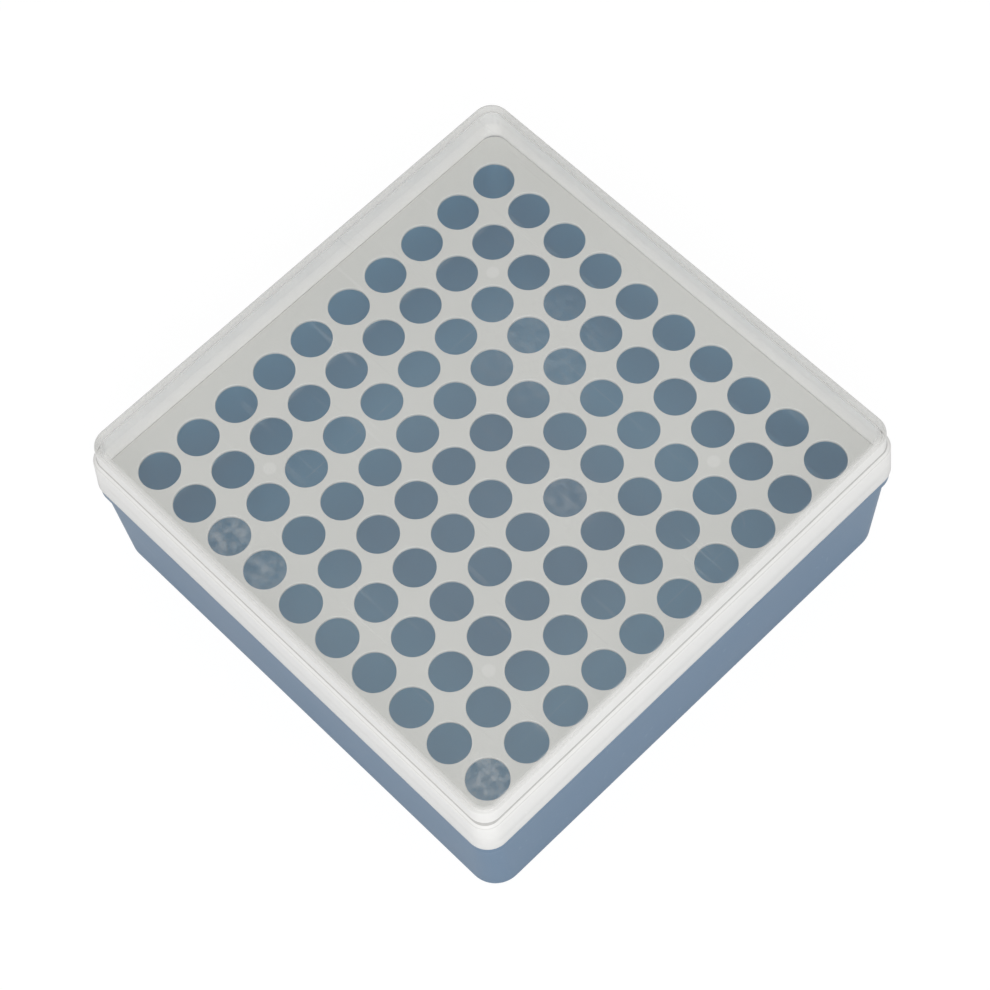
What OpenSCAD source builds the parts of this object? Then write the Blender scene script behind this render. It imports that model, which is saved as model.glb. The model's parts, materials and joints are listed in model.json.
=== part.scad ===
// Hundred-place tube storage box: a moulded tray, a perforated tube rack and a lift-off lid.
// Origin at the centre of the underside, +Z up, millimetres.

/* [Tube grid] */
// Places along each side of the square grid
places = 10; // [4:1:10]
// Distance between the centres of neighbouring tube holes
pitch = 13.25; // [12.5:0.05:14]
// Diameter of each tube hole
hole_d = 11; // [9:0.1:11.4]

/* [Heights] */
// Height of the top face of the lid
box_h = 55; // [52:0.5:70]
// Height of the shoulder that runs round the lid
shoulder_top = 47.8; // [45:0.1:49]
// Height of the top face of the tube rack
rack_top = 39.6; // [37:0.1:41]
// Height of the lower edge of the lid
lid_bottom = 35.2; // [32:0.1:35.5]

/* [Walls] */
// Room between the outermost hole centres and the outside of the lid's lower edge
margin = 13.475; // [13.3:0.025:14]
// Wall thickness of the lid at its lower edge
skirt_wall = 2; // [1.8:0.1:2.2]
// Wall thickness of the lid above its shoulder
lid_wall = 1.3; // [1:0.1:1.5]
// Thickness of the lid's top panel
lid_t = 1.3; // [1:0.1:2]
// Wall thickness of the tray's neck, inside the lid
neck_wall = 1.1; // [0.9:0.1:1.4]
// Thickness of the tray floor
floor_t = 1.8; // [1.4:0.1:2.4]
// Thickness of the rack's perforated panel
rack_t = 1; // [0.8:0.1:2.4]
// Wall thickness of the rack's locating lip
lip_wall = 1.2; // [1:0.1:1.5]
// Depth of the rack's locating lip below the panel
lip_depth = 4; // [3:0.5:6]

/* [Corners] */
// Corner radius of the lid's lower edge and of the tray's rim
lid_r = 6; // [5:0.1:7]
// Corner radius of the lid's top edge
lid_top_r = 5.5; // [5:0.1:7]
// Corner radius of the tray's lower edge
tray_r = 7.4; // [6.5:0.1:8]
// Height of the rounding along the lid's top edge
edge_r = 1.3; // [0.8:0.1:1.6]

/* [Hidden] */
$fn = 64;
// facets of the corner posts inside a hull
hull_fn = 32;
// overlap of joined shapes, and reach of cutters past a face
eps = 0.02;

// how far each level of the outside stands in from the lid's lower edge
shoulder_low_in = 0.6;
shoulder_top_in = 1.65;
lid_top_in = 1.75;
rim_in = 0.2;
tray_top_in = 0.9;
tray_bottom_in = 1.9;

// clearances and steps of the fits inside the lid
rack_gap = 0.3;
lip_gap = 0.4;
rim_gap = 0.45;
rest_step = 0.7;
lid_step_drop = 0.4;
cavity_draft = 0.2;

// half widths of the outside
grid_half = (places - 1) * pitch / 2;
lid_half = grid_half + margin;
shoulder_low_half = lid_half - shoulder_low_in;
shoulder_top_half = lid_half - shoulder_top_in;
lid_top_half = lid_half - lid_top_in;
rim_half = lid_half - rim_in;
tray_top_half = lid_half - tray_top_in;
tray_bottom_half = lid_half - tray_bottom_in;

// half widths of the inside
bore_half = lid_half - skirt_wall;
upper_bore_half = lid_top_half - lid_wall;
rest_half = bore_half + rest_step;
rack_half = bore_half - rack_gap;
neck_half = rack_half;
neck_inner_half = neck_half - neck_wall;
cavity_bottom_half = neck_inner_half - cavity_draft;
lip_half = neck_inner_half - lip_gap;

// where the corner arcs turn in plan, measured from the middle of the box
lid_low_turn = lid_half - lid_r;
lid_top_turn = lid_top_half - lid_top_r;
rim_turn = rim_half - lid_r;
tray_top_turn = tray_top_half - lid_r;
tray_low_turn = tray_bottom_half - tray_r;

// levels
foot_h = 0.8;
foot_w = 4;
rim_h = 2.6;
shoulder_drop = 1.2;
neck_top = rack_top - rack_t;
rim_top = lid_bottom - rim_gap;
rim_bottom = rim_top - rim_h;
shoulder_low = shoulder_top - shoulder_drop;
bore_top = shoulder_low - lid_step_drop;
lid_ceiling = box_h - lid_t;

// the lid's top edge is rounded in two facets: a steep one, then a shallow one
edge_steep_h = 0.7 * edge_r;
edge_steep_in = 0.3 * edge_r;

// Square with round corners whose arcs turn about (turn, turn)
module round_square(half, turn) {
    square([2 * half, 2 * turn], center = true);
    square([2 * turn, 2 * half], center = true);
    for (x = [-1, 1], y = [-1, 1])
        translate([x * turn, y * turn]) circle(half - turn);
}

// Straight-sided block with round corners, from height z0 to z1
module block(half, turn, z0, z1) {
    translate([0, 0, z0]) linear_extrude(z1 - z0) round_square(half, turn);
}

// Block that tapers from half0 at height z0 to half1 at height z1
module taper(half0, turn0, z0, half1, turn1, z1) {
    hull() {
        for (x = [-1, 1], y = [-1, 1]) {
            translate([x * turn0, y * turn0, z0])
                cylinder(h = eps, r = half0 - turn0, $fn = hull_fn);
            translate([x * turn1, y * turn1, z1 - eps])
                cylinder(h = eps, r = half1 - turn1, $fn = hull_fn);
        }
    }
}

// Tray: drafted body on a foot ring, a rim under the lid and a neck that carries the rack
module tray() {
    color([0.45, 0.54, 0.62])
    difference() {
        union() {
            block(tray_bottom_half, tray_low_turn, 0, foot_h);
            taper(tray_bottom_half, tray_low_turn, foot_h - eps,
                  tray_top_half, tray_top_turn, rim_bottom + eps);
            block(rim_half, rim_turn, rim_bottom, rim_top);
            block(rest_half, tray_top_turn, rim_top - eps, lid_bottom);
            block(neck_half, tray_top_turn, lid_bottom - eps, neck_top);
        }
        taper(cavity_bottom_half, tray_low_turn, foot_h + floor_t,
              neck_inner_half, tray_top_turn, rim_bottom);
        block(neck_inner_half, tray_top_turn, rim_bottom - eps, neck_top + eps);
        block(tray_bottom_half - foot_w, tray_low_turn, -eps, foot_h);
    }
}

// Rack: perforated panel with a locating lip that drops inside the tray's neck
module tube_rack() {
    color([0.80, 0.80, 0.78])
    difference() {
        union() {
            block(rack_half, tray_top_turn, neck_top, rack_top);
            block(lip_half, tray_top_turn, neck_top - lip_depth, neck_top + eps);
        }
        block(lip_half - lip_wall, tray_top_turn, neck_top - lip_depth - eps, neck_top);
        for (i = [0 : places - 1], j = [0 : places - 1])
            translate([i * pitch - grid_half, j * pitch - grid_half, neck_top - eps])
                cylinder(h = rack_t + 2 * eps, d = hole_d);
    }
}

// Lid: flat top with a rounded edge, a soft shoulder and a wider skirt that closes on the rim
module lid() {
    color([0.92, 0.92, 0.91, 0.55])
    difference() {
        union() {
            taper(lid_half, lid_low_turn, lid_bottom, shoulder_low_half, lid_low_turn, shoulder_low);
            taper(shoulder_low_half, lid_low_turn, shoulder_low - eps,
                  shoulder_top_half, lid_low_turn, shoulder_top);
            taper(shoulder_top_half, lid_low_turn, shoulder_top - eps,
                  lid_top_half, lid_top_turn, box_h - edge_r);
            taper(lid_top_half, lid_top_turn, box_h - edge_r - eps,
                  lid_top_half - edge_steep_in, lid_top_turn, box_h - edge_r + edge_steep_h);
            block(lid_top_half - edge_steep_h, lid_top_turn, box_h - edge_r + edge_steep_h - eps, box_h);
        }
        block(bore_half, lid_low_turn, lid_bottom - eps, bore_top);
        block(upper_bore_half, lid_top_turn, bore_top - eps, lid_ceiling);
    }
}

tray();
tube_rack();
lid();
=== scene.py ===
"""Looks of a hundred-place tube storage box: blue tray, perforated tube rack and milky lift-off lid."""
import json
import math

import bmesh
import bpy
from mathutils import Matrix, Vector


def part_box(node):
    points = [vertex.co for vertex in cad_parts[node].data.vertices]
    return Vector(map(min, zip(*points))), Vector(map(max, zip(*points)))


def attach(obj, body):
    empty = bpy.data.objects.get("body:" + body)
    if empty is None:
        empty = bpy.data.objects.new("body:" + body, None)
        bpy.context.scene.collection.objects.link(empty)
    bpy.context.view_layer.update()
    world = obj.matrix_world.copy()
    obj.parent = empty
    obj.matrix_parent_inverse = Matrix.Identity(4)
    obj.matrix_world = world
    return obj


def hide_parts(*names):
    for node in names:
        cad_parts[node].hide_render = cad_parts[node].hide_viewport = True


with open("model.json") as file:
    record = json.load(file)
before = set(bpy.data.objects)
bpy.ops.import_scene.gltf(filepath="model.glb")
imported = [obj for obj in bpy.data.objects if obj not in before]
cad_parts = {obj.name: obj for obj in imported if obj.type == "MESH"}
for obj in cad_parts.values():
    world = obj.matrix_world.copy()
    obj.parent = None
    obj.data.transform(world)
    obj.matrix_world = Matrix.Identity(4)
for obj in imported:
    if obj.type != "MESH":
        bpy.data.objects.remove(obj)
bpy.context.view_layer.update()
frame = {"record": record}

MM = 0.001

# ---------------------------------------------------------------- sizes that the frame gives
tray_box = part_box("tray")
rack_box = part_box("tube_rack")
lid_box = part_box("lid")
LID_HALF = lid_box[1].x
LID_BOTTOM = lid_box[0].z
LID_TOP = lid_box[1].z
RACK_HALF = rack_box[1].x
RACK_TOP = rack_box[1].z
LIP_BOTTOM = rack_box[0].z
RIM_HALF = tray_box[1].x
NECK_TOP = tray_box[1].z
bores = [mount for mount in frame["record"]["mounts"] if mount["kind"] == "bore"]
PLACES = round(math.sqrt(len(bores)))
GRID_HALF = max(bore["pos_m"][0] for bore in bores)
PITCH = 2 * GRID_HALF / (PLACES - 1)
HOLE_RADIUS = bores[0]["dims"]["r_mm"] * MM

# ---------------------------------------------------------------- sizes inside the mouldings
RACK_WALL = RACK_TOP - NECK_TOP
LIP_WALL = 1.2 * MM
LIP_GAP = 0.4 * MM
NECK_WALL = 1.1 * MM
REST_STEP = 0.7 * MM
CAVITY_DRAFT = 0.2 * MM
SKIRT_WALL = 2 * MM
LID_WALL = 1.3 * MM
LID_PANEL = 1.3 * MM
FLOOR_WALL = 1.8 * MM
FOOT_HEIGHT = 0.8 * MM
FOOT_WIDTH = 4 * MM
RIM_HEIGHT = 2.6 * MM
RIM_GAP = 0.45 * MM
SHOULDER_TOP = 47.8 * MM
SHOULDER_DROP = 1.2 * MM
EDGE_RADIUS = 1.3 * MM
BORE_STEP_DROP = 0.4 * MM
BORE_STEP_HEIGHT = 1 * MM
HOLE_FILLET = 0.2 * MM

# how far the outside stands in from the lid's lower edge
TRAY_TOP_IN = 0.9 * MM
TRAY_BOTTOM_IN = 1.9 * MM
LID_TOP_IN = 1.75 * MM

# round pin marks on the rack: how many pitches from the middle, and where a mark ends and begins to fade
EJECTOR_PITCHES = 3
EJECTOR_OUTER = 1.9 * MM
EJECTOR_INNER = 1.5 * MM

# flat run that keeps the shading of a fillet off the face beside it
HOLD = 0.25 * MM
# band value of the painted shade line round the lid's wall, a darker line where a crease would be in shade;
# it lies past the milkiest band at 1
PAINTED_SHADE_BAND = 1.4
# points closer than this are one
WELD = 0.002 * MM
POLYPROPYLENE_IOR = 1.49

# plan centres of the corner arcs, measured from the middle of the box
LID_SKIRT_CENTRE = LID_HALF - 6 * MM
LID_TOP_CENTRE = LID_HALF - 7.25 * MM
RIM_CENTRE = LID_HALF - 6.2 * MM
TRAY_TOP_CENTRE = LID_HALF - 6.9 * MM
TRAY_BOTTOM_CENTRE = LID_HALF - 9.3 * MM

ARC_STEPS = 14
FILLET_STEPS = 5
CELL_SIDE_STEPS = 10


# ---------------------------------------------------------------- mesh making
def round_corners(corners):
    """Rounds a wall section. A corner is (half width, height, plan centre, fillet, band before, band after).

    Returns points (half width, height, plan centre, edge, band). Edge is 1 along the fillets. Band is a shade
    that the material reads, and it changes along a fillet from the value before to the value after."""
    first = corners[0]
    last = corners[-1]
    points = [(*first[:3], 0.0, first[5])]
    for before, here, after in zip(corners, corners[1:], corners[2:]):
        at = Vector(here[:2])
        back = Vector(before[:2]) - at
        on = Vector(after[:2]) - at
        room = 0.45 * min(back.length, on.length)
        back.normalize()
        on.normalize()
        opening = math.acos(max(-1.0, min(1.0, back.dot(on))))
        tangent = min(here[3] / math.tan(opening / 2), room)
        radius = tangent * math.tan(opening / 2)
        middle = at + (back + on).normalized() * (radius / math.sin(opening / 2))
        start = at + back * tangent - middle
        turn = math.pi - opening
        if start.cross(at + on * tangent - middle) < 0:
            turn = -turn
        steps = max(2, round(FILLET_STEPS * abs(turn) / (math.pi / 2)))
        arc = []
        for k in range(steps + 1):
            swing = turn * k / steps
            spoke = Vector((start.x * math.cos(swing) - start.y * math.sin(swing),
                            start.x * math.sin(swing) + start.y * math.cos(swing)))
            arc.append(middle + spoke)
        lead = min(HOLD, 0.5 * room)
        points.append((*(arc[0] + back * lead), here[2], 0.0, here[4]))
        for k, spot in enumerate(arc):
            points.append((*spot, here[2], 1.0, here[4] + (here[5] - here[4]) * k / steps))
        points.append((*(arc[-1] + on * lead), here[2], 0.0, here[5]))
    points.append((*last[:3], 0.0, last[4]))
    return points


def outline(half, centre, along):
    """Round square in plan, anticlockwise. Its corner arcs turn about (centre, centre)."""
    radius = half - centre
    spots = []
    for quarter in range(4):
        turn = Matrix.Rotation(quarter * math.pi / 2, 2)
        for k in range(ARC_STEPS + 1):
            angle = math.pi / 2 * k / ARC_STEPS
            spoke = Vector((math.cos(angle), math.sin(angle)))
            spots.append(turn @ (Vector((centre, centre)) + radius * spoke))
        spots += [turn @ Vector((share * centre, half)) for share in along]
    return spots


# places along a straight side, as shares of the plan centre: one close to each corner arc and some between
EVEN_STEPS = (0.97, 0.5, 0, -0.5, -0.97)


def sweep(mesh, section, along, closed=True):
    """Sweeps a wall section round the box, and closes both ends with flat panels."""
    edge = mesh.verts.layers.float.new("edge")
    band = mesh.verts.layers.float.new("band")
    rings = []
    for half, height, centre, wear, shade in section:
        ring = [mesh.verts.new((spot.x, spot.y, height)) for spot in outline(half, centre, along)]
        for corner in ring:
            corner[edge] = wear
            corner[band] = shade
        rings.append(ring)
    for lower, upper in zip(rings, rings[1:]):
        for k in range(len(lower)):
            mesh.faces.new((lower[k - 1], lower[k], upper[k], upper[k - 1]))
    if closed:
        mesh.faces.new(rings[0])
        mesh.faces.new(rings[-1])


def finished(name, mesh, material, body, node):
    """Turns a bmesh into a smooth piece that rides a body and stands for its CAD node."""
    bmesh.ops.remove_doubles(mesh, verts=mesh.verts, dist=WELD)
    bmesh.ops.recalc_face_normals(mesh, faces=mesh.faces)
    data = bpy.data.meshes.new(name)
    mesh.to_mesh(data)
    mesh.free()
    data.shade_smooth()
    # clearing also moves the rack cells' faces, which come with a slot of their own, to the first slot
    data.materials.clear()
    data.materials.append(material)
    piece = bpy.data.objects.new(name, data)
    bpy.context.scene.collection.objects.link(piece)
    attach(piece, body)
    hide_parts(node)
    return piece


def tray_section():
    """From the middle of the floor up the inside, over the neck, down the outside and under the foot.

    The band is painted light: a lighter blue inside the cavity that stands in for light coming through the
    thin walls, least in the middle of the floor, more towards its edge and most up the inner walls, and 0
    outside."""
    rim_top = LID_BOTTOM - RIM_GAP
    body_top = rim_top - RIM_HEIGHT
    neck_half = RACK_HALF
    inner_half = neck_half - NECK_WALL
    step_half = LID_HALF - SKIRT_WALL + REST_STEP
    top_half = LID_HALF - TRAY_TOP_IN
    bottom_half = LID_HALF - TRAY_BOTTOM_IN
    top = TRAY_TOP_CENTRE
    low = TRAY_BOTTOM_CENTRE
    floor_top = FOOT_HEIGHT + FLOOR_WALL
    return round_corners([
        (0.35 * inner_half, floor_top, 0.3 * inner_half, 0, 0.33, 0.33),
        (0.68 * inner_half, floor_top, 0.6 * inner_half, 0, 0.65, 0.65),
        (inner_half - CAVITY_DRAFT, floor_top, low, 1.6 * MM, 0.52, 0.75),
        (inner_half, NECK_TOP, top, 0.35 * MM, 0.9, 0),
        (neck_half, NECK_TOP, top, 0.35 * MM, 0, 0),
        (neck_half, LID_BOTTOM, top, 0.3 * MM, 0, 0),
        (step_half, LID_BOTTOM, top, 0.3 * MM, 0, 0),
        (step_half, rim_top, top, 0.1 * MM, 0, 0),
        (RIM_HALF, rim_top, RIM_CENTRE, 0.35 * MM, 0, 0),
        (RIM_HALF, body_top, RIM_CENTRE, 0.5 * MM, 0, 0),
        (top_half, body_top, top, 0.15 * MM, 0, 0),
        (bottom_half, 0, low, 1.2 * MM, 0, 0),
        (bottom_half - FOOT_WIDTH, 0, low - FOOT_WIDTH, 0.4 * MM, 0, 0),
        (bottom_half - FOOT_WIDTH, FOOT_HEIGHT, low - FOOT_WIDTH, 0.3 * MM, 0, 0),
        (0.9 * inner_half, FOOT_HEIGHT, 0.85 * inner_half, 0, 0, 0),
    ])


def lid_section():
    """From the middle of the top panel down the outside, round the skirt and up the inside.

    The band is how milky the plastic looks: 0 for the clear panel, 1 for the whitest edges, and a value past
    1 for a painted shade line, a darker band round the wall just above the shoulder where a crease would be
    in shade. The four rows after the top edge shape the shoulder: down the wall, then out over two soft
    slopes to the skirt."""
    shoulder_low = SHOULDER_TOP - SHOULDER_DROP
    top_half = LID_HALF - LID_TOP_IN
    bore_half = LID_HALF - SKIRT_WALL - 0.15 * MM
    upper_bore_half = top_half - LID_WALL
    step_low = shoulder_low - BORE_STEP_DROP
    panel = LID_TOP - LID_PANEL
    top = LID_TOP_CENTRE
    low = LID_SKIRT_CENTRE
    mid = 0.5 * (top + low)
    return round_corners([
        (0.9 * top_half, LID_TOP, 0.85 * top_half, 0, 0, 0),
        (top_half, LID_TOP, top, EDGE_RADIUS, 0, 0.72),
        # painted shade: between these two rows the band passes 1, which darkens the wall in a line just above
        # the shoulder
        (LID_HALF - 1.77 * MM, SHOULDER_TOP + 1.1 * MM, mid, 0.4 * MM, 0.68, PAINTED_SHADE_BAND),
        (LID_HALF - 1.72 * MM, SHOULDER_TOP - 0.2 * MM, low, 0.2 * MM, PAINTED_SHADE_BAND, 0.68),
        (LID_HALF - 1.15 * MM, SHOULDER_TOP - 0.75 * MM, low, 0.15 * MM, 0.6, 0.5),
        (LID_HALF - 0.75 * MM, shoulder_low + 0.05 * MM, low, 0.4 * MM, 0.6, 0.72),
        (LID_HALF, LID_BOTTOM, low, 0.4 * MM, 0.5, 0.9),
        (bore_half, LID_BOTTOM, low, 0.3 * MM, 0.85, 0.9),
        (bore_half, step_low, low, 0.4 * MM, 0.92, 0.82),
        (upper_bore_half, step_low + BORE_STEP_HEIGHT, top, 0.4 * MM, 0.82, 0.82),
        (upper_bore_half, panel, top, 1.2 * MM, 0.85, 0),
        (0.9 * top_half, panel, 0.85 * top_half, 0, 0, 0),
    ])


def rack_border_section():
    """From the tube grid's edge outwards over the rack's rim, round the lip and back underneath."""
    grid_edge = PLACES * PITCH / 2
    lip_half = RACK_HALF - NECK_WALL - LIP_GAP
    centre = TRAY_TOP_CENTRE
    return round_corners([
        (grid_edge, RACK_TOP, grid_edge, 0, 0, 0),
        (RACK_HALF, RACK_TOP, centre, 0.2 * MM, 0, 0),
        (RACK_HALF, NECK_TOP, centre, 0.2 * MM, 0, 0),
        (lip_half, NECK_TOP, centre, 0.2 * MM, 0, 0),
        (lip_half, LIP_BOTTOM, centre, 0.35 * MM, 0, 0),
        (lip_half - LIP_WALL, LIP_BOTTOM, centre, 0.35 * MM, 0, 0),
        (lip_half - LIP_WALL, NECK_TOP, centre, 0.4 * MM, 0, 0),
        (grid_edge, NECK_TOP, grid_edge, 0, 0, 0),
    ])


def square_spots(half, steps):
    """Evenly spaced places round a square, starting at its corner."""
    spots = []
    for quarter in range(4):
        turn = Matrix.Rotation(quarter * math.pi / 2, 2)
        spots += [turn @ Vector((half - 2 * half * k / steps, half)) for k in range(steps)]
    return spots


def rack_cell():
    """One square cell of the rack with its tube hole, both hole edges rounded."""
    steps = 4 * CELL_SIDE_STEPS
    mesh = bmesh.new()
    edge = mesh.verts.layers.float.new("edge")
    fillet = []
    for k in range(4):
        angle = math.pi / 2 * k / 3
        widening = HOLE_FILLET * (1 - math.sin(angle))
        fillet.append((HOLE_RADIUS + widening, HOLE_FILLET * (1 - math.cos(angle))))
    levels = [(HOLE_RADIUS + HOLE_FILLET + HOLD, 0, 0.0)]
    levels += [(radius, drop, 1.0) for radius, drop in fillet]
    levels += [(radius, RACK_WALL - drop, 1.0) for radius, drop in reversed(fillet)]
    levels += [(HOLE_RADIUS + HOLE_FILLET + HOLD, RACK_WALL, 0.0)]
    square = square_spots(PITCH / 2, CELL_SIDE_STEPS)
    rings = [[mesh.verts.new((spot.x, spot.y, RACK_TOP)) for spot in square]]
    for radius, drop, wear in levels:
        ring = []
        for k in range(steps):
            angle = math.pi / 4 + 2 * math.pi * k / steps
            corner = mesh.verts.new((radius * math.cos(angle), radius * math.sin(angle), RACK_TOP - drop))
            corner[edge] = wear
            ring.append(corner)
        rings.append(ring)
    rings.append([mesh.verts.new((spot.x, spot.y, NECK_TOP)) for spot in square])
    for lower, upper in zip(rings, rings[1:]):
        for k in range(steps):
            mesh.faces.new((lower[k - 1], lower[k], upper[k], upper[k - 1]))
    data = bpy.data.meshes.new("rack_cell")
    mesh.to_mesh(data)
    mesh.free()
    return data


def grid_of_cells_tree():
    """Geometry Nodes: repeats one cell over the square grid of places."""
    tree = bpy.data.node_groups.new("grid of cells", "GeometryNodeTree")
    tree.interface.new_socket("Cell", in_out="INPUT", socket_type="NodeSocketGeometry")
    tree.interface.new_socket("Places", in_out="INPUT", socket_type="NodeSocketInt")
    tree.interface.new_socket("Pitch", in_out="INPUT", socket_type="NodeSocketFloat")
    tree.interface.new_socket("Finish", in_out="INPUT", socket_type="NodeSocketMaterial")
    tree.interface.new_socket("Panel", in_out="OUTPUT", socket_type="NodeSocketGeometry")
    nodes = tree.nodes
    link = tree.links.new
    given = nodes.new("NodeGroupInput")
    gaps = nodes.new("ShaderNodeMath")
    gaps.operation = "SUBTRACT"
    gaps.inputs[1].default_value = 1
    span = nodes.new("ShaderNodeMath")
    span.operation = "MULTIPLY"
    grid = nodes.new("GeometryNodeMeshGrid")
    place = nodes.new("GeometryNodeInstanceOnPoints")
    real = nodes.new("GeometryNodeRealizeInstances")
    weld = nodes.new("GeometryNodeMergeByDistance")
    paint = nodes.new("GeometryNodeSetMaterial")
    made = nodes.new("NodeGroupOutput")
    link(given.outputs["Places"], gaps.inputs[0])
    link(gaps.outputs[0], span.inputs[0])
    link(given.outputs["Pitch"], span.inputs[1])
    for side in ("Size X", "Size Y"):
        link(span.outputs[0], grid.inputs[side])
    for side in ("Vertices X", "Vertices Y"):
        link(given.outputs["Places"], grid.inputs[side])
    link(grid.outputs["Mesh"], place.inputs["Points"])
    link(given.outputs["Cell"], place.inputs["Instance"])
    link(place.outputs["Instances"], real.inputs["Geometry"])
    link(real.outputs["Geometry"], weld.inputs["Geometry"])
    weld.inputs["Distance"].default_value = WELD
    link(weld.outputs["Geometry"], paint.inputs["Geometry"])
    link(given.outputs["Finish"], paint.inputs["Material"])
    link(paint.outputs["Geometry"], made.inputs["Panel"])
    return tree


def socket_id(tree, name):
    """Identifier of a modifier input, by its name."""
    return next(s.identifier for s in tree.interface.items_tree if s.name == name and s.in_out == "INPUT")


def repeated_cells(material):
    """The perforated field of the rack as a plain mesh."""
    cell = bpy.data.objects.new("rack_cell", rack_cell())
    bpy.context.scene.collection.objects.link(cell)
    tree = grid_of_cells_tree()
    repeat = cell.modifiers.new("repeat", "NODES")
    repeat.node_group = tree
    repeat[socket_id(tree, "Places")] = PLACES
    repeat[socket_id(tree, "Pitch")] = PITCH
    repeat[socket_id(tree, "Finish")] = material
    field = bpy.data.meshes.new_from_object(cell.evaluated_get(bpy.context.evaluated_depsgraph_get()))
    cell.modifiers.remove(repeat)
    bpy.data.objects.remove(cell)
    return field


# ---------------------------------------------------------------- colours and light that passes
# a pair holds the two ends of a moulding's slow colour drift
BLUE = ((0.092, 0.172, 0.278, 1), (0.104, 0.191, 0.302, 1))
# painted light: a lighter blue for the inside of the tray, standing in for light that comes through its thin
# walls
BLUE_PAINTED_LIGHT = (0.215, 0.48, 0.66, 1)
BLUE_RUBBED = (0.42, 0.50, 0.58, 1)
OFF_WHITE = ((0.612, 0.617, 0.59, 1), (0.652, 0.657, 0.63, 1))
OFF_WHITE_MARK = (0.82, 0.82, 0.80, 1)
OFF_WHITE_RUBBED = (0.82, 0.82, 0.81, 1)
MILK = ((0.75, 0.746, 0.728, 1), (0.79, 0.786, 0.768, 1))
MILK_EDGE = (0.97, 0.965, 0.95, 1)
# painted shade: the darker colour of the shade line round the lid's wall
MILK_PAINTED_SHADE = (0.52, 0.515, 0.50, 1)
FLOOR_GREY = (0.9, 0.9, 0.9, 1)
WHITE = (1, 1, 1, 1)

# shares of lamp light that go through the tray's walls and through the milkiest parts of the lid, and how
# far the lid does the same for light that comes off other surfaces
BLUE_PASSES = 0.7
MILK_PASSES = 0.9
MILK_BOUNCE = 0.6


# ---------------------------------------------------------------- materials
class Net:
    """A node tree under construction."""

    def __init__(self, tree):
        self.tree = tree

    def feed(self, socket, value):
        """Links another socket to this one, or gives it a constant."""
        if isinstance(value, bpy.types.NodeSocket):
            self.tree.links.new(value, socket)
        else:
            socket.default_value = value

    def node(self, kind, inputs=None, **settings):
        made = self.tree.nodes.new(kind)
        for name, value in settings.items():
            setattr(made, name, value)
        for name, value in (inputs or {}).items():
            self.feed(made.inputs[name], value)
        return made

    def math(self, operation, first, second=0.0):
        return self.node("ShaderNodeMath", {0: first, 1: second}, operation=operation).outputs[0]

    def noise(self, place, scale, detail=2.0, stretch=(1, 1, 1), turn=0.0):
        """Noise between 0 and 1 with features about 1 / scale metres wide."""
        mapping = self.node("ShaderNodeMapping",
                            {"Vector": place, "Scale": stretch, "Rotation": (0, 0, turn)})
        made = self.node("ShaderNodeTexNoise",
                         {"Vector": mapping.outputs[0], "Scale": scale, "Detail": detail})
        return made.outputs["Fac"]

    def between(self, value, low, high, to_low=0.0, to_high=1.0):
        """Value rescaled from low..high to to_low..to_high, clamped."""
        made = self.node("ShaderNodeMapRange", {"Value": value, "From Min": low, "From Max": high,
                                                "To Min": to_low, "To Max": to_high})
        return made.outputs["Result"]

    def mix(self, share, first, second):
        made = self.node("ShaderNodeMix", data_type="RGBA")
        for name, value in (("Factor_Float", share), ("A_Color", first), ("B_Color", second)):
            self.feed(next(s for s in made.inputs if s.identifier == name), value)
        return next(s for s in made.outputs if s.identifier == "Result_Color")

    def group(self, tree, inputs):
        return self.node("ShaderNodeGroup", inputs, node_tree=tree).outputs


def new_group(name, takes, gives):
    """An empty shader node group with named sockets: its net, its inputs and its output node."""
    tree = bpy.data.node_groups.new(name, "ShaderNodeTree")
    for label, kind, value in takes:
        socket = tree.interface.new_socket(label, in_out="INPUT", socket_type=kind)
        if value is not None:
            socket.default_value = value
    for label in gives:
        tree.interface.new_socket(label, in_out="OUTPUT", socket_type="NodeSocketFloat")
    net = Net(tree)
    return net, net.node("NodeGroupInput").outputs, net.node("NodeGroupOutput").inputs


def moulded_skin():
    """Group: the skin of an injection moulding. Height for bump, Tone for slow colour drift."""
    net, given, made = new_group("moulded skin", [
        ("Place", "NodeSocketVector", None),
        ("Grain", "NodeSocketFloat", 0.4),
        ("Flow", "NodeSocketFloat", 0.5),
    ], ["Height", "Tone"])
    grain = net.noise(given["Place"], 2600, 3)
    pebble = net.noise(given["Place"], 700, 2)
    flow = net.noise(given["Place"], 45, 3, stretch=(1, 0.35, 1), turn=0.6)
    drift = net.noise(given["Place"], 14, 2)
    fine = net.math("MULTIPLY", net.math("ADD", net.math("MULTIPLY", grain, 0.6), pebble), given["Grain"])
    slow = net.math("MULTIPLY", flow, given["Flow"])
    net.tree.links.new(net.math("ADD", fine, slow), made["Height"])
    cloud = net.math("ADD", net.math("MULTIPLY", flow, 0.4), drift)
    net.tree.links.new(net.between(cloud, 0.4, 1.0), made["Tone"])
    return net.tree


def handling_scratches():
    """Group: thin straight scratches that cross in three directions, as a mask."""
    net, given, made = new_group("handling scratches", [
        ("Place", "NodeSocketVector", None),
        ("Cover", "NodeSocketFloat", 0.3),
    ], ["Mask"])
    total = None
    for turn, scale in ((0.35, 260), (1.45, 330), (2.5, 300)):
        lines = net.noise(given["Place"], scale, 1, stretch=(0.05, 1.6, 1), turn=turn)
        where = net.noise(given["Place"], 38 + 9 * turn, 2)
        thin = net.between(lines, 0.69, 0.74)
        patchy = net.between(where, 0.52, 0.7)
        layer = net.math("MULTIPLY", thin, patchy)
        total = layer if total is None else net.math("MAXIMUM", total, layer)
    net.tree.links.new(net.math("MULTIPLY", total, given["Cover"]), made["Mask"])
    return net.tree


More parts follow.
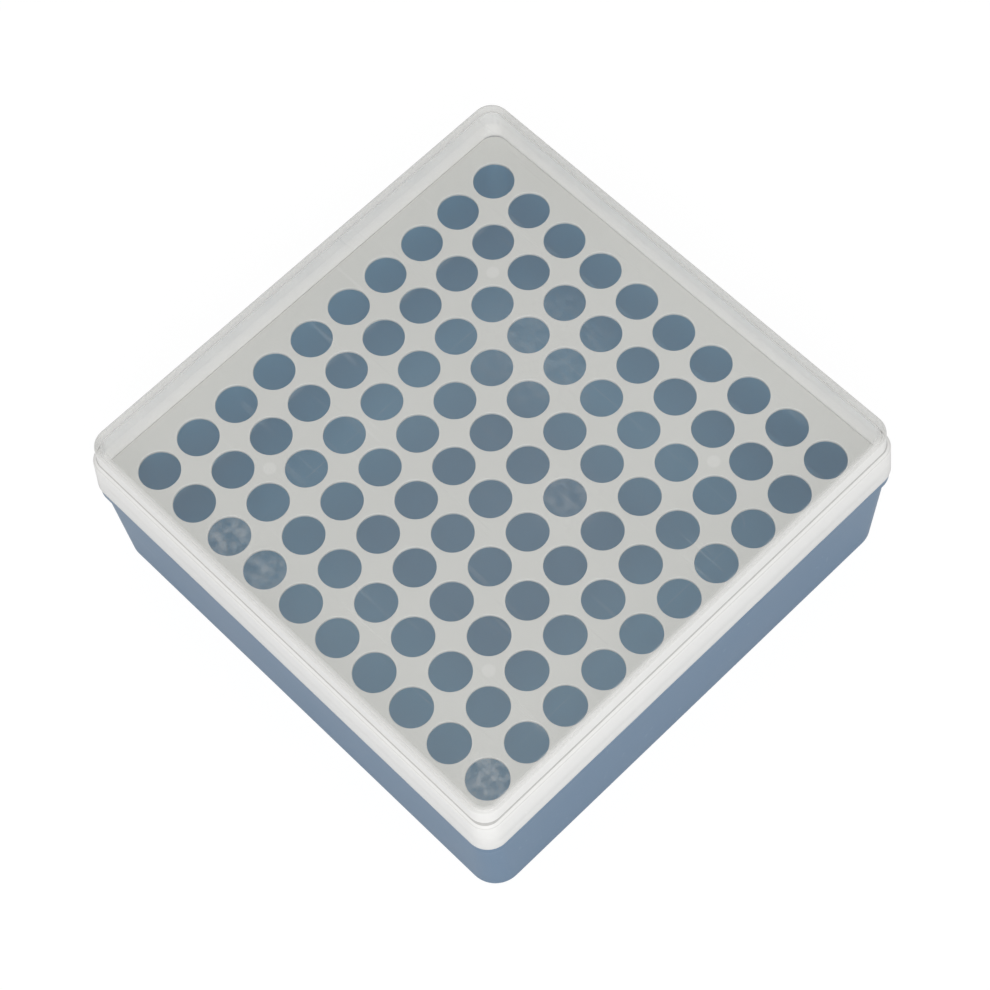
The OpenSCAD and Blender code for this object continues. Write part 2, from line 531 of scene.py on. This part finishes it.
def edge_rub():
    """Group: rubbed edges. Takes the edge attribute, and breaks it up along the edge."""
    net, given, made = new_group("edge rub", [
        ("Place", "NodeSocketVector", None),
        ("Edge", "NodeSocketFloat", 0.0),
        ("Amount", "NodeSocketFloat", 0.5),
    ], ["Mask"])
    broken = net.between(net.noise(given["Place"], 130, 4), 0.35, 0.7)
    mask = net.math("MULTIPLY", net.math("MULTIPLY", given["Edge"], broken), given["Amount"])
    net.tree.links.new(mask, made["Mask"])
    return net.tree


def haze_spot():
    """Group: a cloudy, mottled spot of haze round a centre, as a mask."""
    net, given, made = new_group("haze spot", [
        ("Place", "NodeSocketVector", None),
        ("Centre", "NodeSocketVector", None),
        ("Radius", "NodeSocketFloat", 5 * MM),
    ], ["Mask"])
    away = net.node("ShaderNodeVectorMath", {0: given["Place"], 1: given["Centre"]}, operation="DISTANCE")
    near = net.between(net.math("DIVIDE", away.outputs["Value"], given["Radius"]), 1.0, 0.45)
    mottle = net.between(net.noise(given["Place"], 420, 4), 0.42, 0.66)
    net.tree.links.new(net.math("MULTIPLY", near, mottle), made["Mask"])
    return net.tree


# cloudy spots left on the lid's top by handling: centre in plan, radius and amount
HAZE = (
    ((-26 * MM, -63 * MM), 8 * MM, 0.15),
    ((-13 * MM, -63 * MM), 7 * MM, 0.11),
    ((63 * MM, -63 * MM), 8 * MM, 0.16),
    ((26 * MM, 2 * MM), 11 * MM, 0.06),
    ((-8 * MM, 28 * MM), 22 * MM, 0.045),
)

SKIN = moulded_skin()
SCRATCHES = handling_scratches()
EDGE_RUB = edge_rub()
HAZE_SPOT = haze_spot()


def new_finish(name):
    """An empty material: its net, Principled shader, object coordinates, and edge and band values."""
    material = bpy.data.materials.new(name)
    material.use_nodes = True
    net = Net(material.node_tree)
    net.tree.nodes.clear()
    shader = net.node("ShaderNodeBsdfPrincipled")
    out = net.node("ShaderNodeOutputMaterial")
    net.tree.links.new(shader.outputs[0], out.inputs["Surface"])
    place = net.node("ShaderNodeTexCoord").outputs["Object"]
    edge = net.node("ShaderNodeAttribute", attribute_name="edge").outputs["Fac"]
    band = net.node("ShaderNodeAttribute", attribute_name="band").outputs["Fac"]
    return material, net, shader, place, edge, band


def relief(net, shader, height, distance, strength=1.0):
    bump = net.node("ShaderNodeBump", {"Height": height, "Distance": distance, "Strength": strength})
    net.tree.links.new(bump.outputs[0], shader.inputs["Normal"])


def blue_polypropylene():
    """Blue-grey tray: fine grain, pale rubbed edges and scratches, and a painted-light lighter blue inside
    the cavity. Its thin walls let some light through.
    """
    material, net, shader, place, edge, band = new_finish("blue polypropylene")
    skin = net.group(SKIN, {"Place": place, "Grain": 0.5, "Flow": 0.8})
    scratch = net.group(SCRATCHES, {"Place": place, "Cover": 0.6})["Mask"]
    rub = net.group(EDGE_RUB, {"Place": place, "Edge": edge, "Amount": 0.35})["Mask"]
    body = net.mix(skin["Tone"], *BLUE)
    # painted light: the band lightens the blue inside the cavity
    body = net.mix(band, body, BLUE_PAINTED_LIGHT)
    pale = net.mix(net.math("MAXIMUM", net.math("MULTIPLY", scratch, 0.4), rub), body, BLUE_RUBBED)
    net.tree.links.new(pale, shader.inputs["Base Color"])
    net.tree.links.new(net.between(net.math("ADD", skin["Tone"], scratch), 0, 1.6, 0.30, 0.46),
                       shader.inputs["Roughness"])
    shader.inputs["IOR"].default_value = POLYPROPYLENE_IOR
    relief(net, shader, net.math("SUBTRACT", skin["Height"], scratch), 0.03 * MM, 0.6)
    passes = net.math("MULTIPLY", net.node("ShaderNodeLightPath").outputs["Is Shadow Ray"], BLUE_PASSES)
    net.tree.links.new(net.math("SUBTRACT", 1.0, passes), shader.inputs["Alpha"])
    return material


def ejector_marks(net, place):
    """Mask of the four round pin marks, each in the middle of four tube holes."""
    folded = net.node("ShaderNodeVectorMath", {0: place}, operation="ABSOLUTE").outputs[0]
    mark = (EJECTOR_PITCHES * PITCH, EJECTOR_PITCHES * PITCH, RACK_TOP)
    away = net.node("ShaderNodeVectorMath", {0: folded, 1: mark}, operation="DISTANCE")
    return net.between(away.outputs["Value"], EJECTOR_OUTER, EJECTOR_INNER)


def white_polypropylene():
    """Off-white rack: satin, with faint moulding flow and pale ejector marks."""
    material, net, shader, place, edge, _ = new_finish("white polypropylene")
    skin = net.group(SKIN, {"Place": place, "Grain": 0.4, "Flow": 1.0})
    scratch = net.group(SCRATCHES, {"Place": place, "Cover": 0.5})["Mask"]
    rub = net.group(EDGE_RUB, {"Place": place, "Edge": edge, "Amount": 0.3})["Mask"]
    body = net.mix(skin["Tone"], *OFF_WHITE)
    body = net.mix(net.math("MULTIPLY", ejector_marks(net, place), 0.3), body, OFF_WHITE_MARK)
    pale = net.mix(net.math("MAXIMUM", net.math("MULTIPLY", scratch, 0.5), rub), body, OFF_WHITE_RUBBED)
    net.tree.links.new(pale, shader.inputs["Base Color"])
    net.tree.links.new(net.between(skin["Tone"], 0, 1, 0.42, 0.5), shader.inputs["Roughness"])
    shader.inputs["IOR"].default_value = POLYPROPYLENE_IOR
    relief(net, shader, skin["Height"], 0.03 * MM, 0.5)
    return material


def milky_polypropylene():
    """Translucent lid: a nearly clear top panel with fine haze, milkier walls and edges, and a painted shade
    line round the wall above the shoulder.
    """
    material, net, shader, place, _, milk_and_shade = new_finish("milky polypropylene")
    skin = net.group(SKIN, {"Place": place, "Grain": 0.35, "Flow": 1.0})
    scratch = net.group(SCRATCHES, {"Place": place, "Cover": 0.8})["Mask"]
    body = net.mix(skin["Tone"], *MILK)
    body = net.mix(net.between(milk_and_shade, 0.45, 1), body, MILK_EDGE)
    # painted shade line round the wall just above the shoulder
    body = net.mix(net.between(milk_and_shade, 1, PAINTED_SHADE_BAND), body, MILK_PAINTED_SHADE)
    net.tree.links.new(body, shader.inputs["Base Color"])
    clear = net.between(skin["Tone"], 0, 1, 0.06, 0.08)
    hazy = net.math("ADD", clear, net.math("MULTIPLY", scratch, 0.1))
    for centre, radius, amount in HAZE:
        spot = net.group(HAZE_SPOT, {"Place": place, "Centre": (*centre, LID_TOP), "Radius": radius})["Mask"]
        hazy = net.math("ADD", hazy, net.math("MULTIPLY", spot, amount))
    milky = net.between(net.math("ADD", net.math("MULTIPLY", milk_and_shade, 1.45), hazy), 0, 1, 0, 0.96)
    paths = net.node("ShaderNodeLightPath").outputs
    bounced = net.math("MULTIPLY", paths["Is Diffuse Ray"], MILK_BOUNCE)
    soft = net.math("MAXIMUM", paths["Is Shadow Ray"], bounced)
    passed = net.math("SUBTRACT", 1.0, net.math("MULTIPLY", soft, MILK_PASSES))
    net.tree.links.new(net.math("MULTIPLY", milky, passed), shader.inputs["Alpha"])
    net.tree.links.new(net.between(net.math("ADD", skin["Tone"], scratch), 0, 1.6, 0.28, 0.45),
                       shader.inputs["Roughness"])
    shader.inputs["IOR"].default_value = POLYPROPYLENE_IOR
    relief(net, shader, skin["Height"], 0.006 * MM, 0.4)
    return material


# ---------------------------------------------------------------- pieces
def make_tray():
    mesh = bmesh.new()
    sweep(mesh, tray_section(), EVEN_STEPS)
    return finished("tray_shell", mesh, blue_polypropylene(), "tray", "tray")


def make_rack():
    material = white_polypropylene()
    mesh = bmesh.new()
    steps = PLACES * CELL_SIDE_STEPS
    along = [1 - 2 * k / steps for k in range(1, steps)]
    sweep(mesh, rack_border_section(), along, closed=False)
    mesh.from_mesh(repeated_cells(material))
    return finished("rack_panel", mesh, material, "rack", "tube_rack")


def make_lid():
    mesh = bmesh.new()
    sweep(mesh, lid_section(), EVEN_STEPS)
    return finished("lid_shell", mesh, milky_polypropylene(), "lid", "lid")


# ---------------------------------------------------------------- stage, light and camera
def blended(net, share, first, second, out):
    """Sends a mix of two shaders to an output node. A share of 1 shows only the second."""
    blend = net.node("ShaderNodeMixShader", {"Fac": share, 1: first.outputs[0], 2: second.outputs[0]})
    net.tree.links.new(blend.outputs[0], out.inputs["Surface"])


def make_stage():
    """A plain white floor. The camera sees it bright, and the object sees it as a lit floor."""
    material = bpy.data.materials.new("white floor")
    material.use_nodes = True
    net = Net(material.node_tree)
    net.tree.nodes.clear()
    out = net.node("ShaderNodeOutputMaterial")
    lit = net.node("ShaderNodeBsdfDiffuse", {"Color": FLOOR_GREY})
    bright = net.node("ShaderNodeEmission", {"Color": WHITE, "Strength": 1.04})
    seen = net.node("ShaderNodeLightPath").outputs["Is Camera Ray"]
    blended(net, net.math("MULTIPLY", seen, 0.9), lit, bright, out)
    mesh = bmesh.new()
    bmesh.ops.create_grid(mesh, x_segments=1, y_segments=1, size=3)
    bmesh.ops.translate(mesh, verts=mesh.verts, vec=(0, 0, -0.02 * MM))
    data = bpy.data.meshes.new("floor")
    mesh.to_mesh(data)
    mesh.free()
    data.materials.append(material)
    floor = bpy.data.objects.new("floor", data)
    bpy.context.scene.collection.objects.link(floor)


def make_world():
    """Even soft light from all round. The camera sees plain white instead."""
    world = bpy.data.worlds.new("studio")
    world.use_nodes = True
    net = Net(world.node_tree)
    net.tree.nodes.clear()
    out = net.node("ShaderNodeOutputWorld")
    soft = net.node("ShaderNodeBackground", {"Color": WHITE, "Strength": 0.62})
    seen_white = net.node("ShaderNodeBackground", {"Color": WHITE, "Strength": 1.0})
    seen = net.node("ShaderNodeLightPath").outputs["Is Camera Ray"]
    blended(net, seen, soft, seen_white, out)
    bpy.context.scene.world = world


def make_light(name, place, size, power):
    """A soft square light that faces the box."""
    data = bpy.data.lights.new(name, "AREA")
    data.size = size
    data.energy = power
    light = bpy.data.objects.new(name, data)
    light.location = place
    aim = Vector((0, 0, RACK_TOP)) - Vector(place)
    light.rotation_mode = "QUATERNION"
    light.rotation_quaternion = aim.to_track_quat("-Z", "Y")
    bpy.context.scene.collection.objects.link(light)


def make_camera():
    """Looks down on one corner of the box, rolled a little."""
    azimuth = math.radians(51.64)
    elevation = math.radians(63.80)
    roll = math.radians(-6.85)
    distance = 0.7437
    target = Vector((6.8 * MM, -5.2 * MM, RACK_TOP))
    back = Vector((math.sin(azimuth) * math.cos(elevation),
                   -math.cos(azimuth) * math.cos(elevation),
                   math.sin(elevation)))
    right = Vector((math.cos(azimuth), math.sin(azimuth), 0))
    up = back.cross(right)
    across = right * math.cos(roll) + up * math.sin(roll)
    upward = up * math.cos(roll) - right * math.sin(roll)
    data = bpy.data.cameras.new("camera")
    data.lens = 107.55
    data.sensor_width = 36
    data.clip_start = 0.05
    data.clip_end = 20
    camera = bpy.data.objects.new("camera", data)
    pose = Matrix((across, upward, back)).transposed().to_4x4()
    pose.translation = target + back * distance
    camera.matrix_world = pose
    bpy.context.scene.collection.objects.link(camera)
    bpy.context.scene.camera = camera


make_camera()
make_stage()
make_world()
make_light("key softbox", place=(0.82, -0.68, 1.0), size=0.9, power=9.0)
bpy.context.scene.view_settings.view_transform = "Standard"
make_tray()
make_rack()
make_lid()
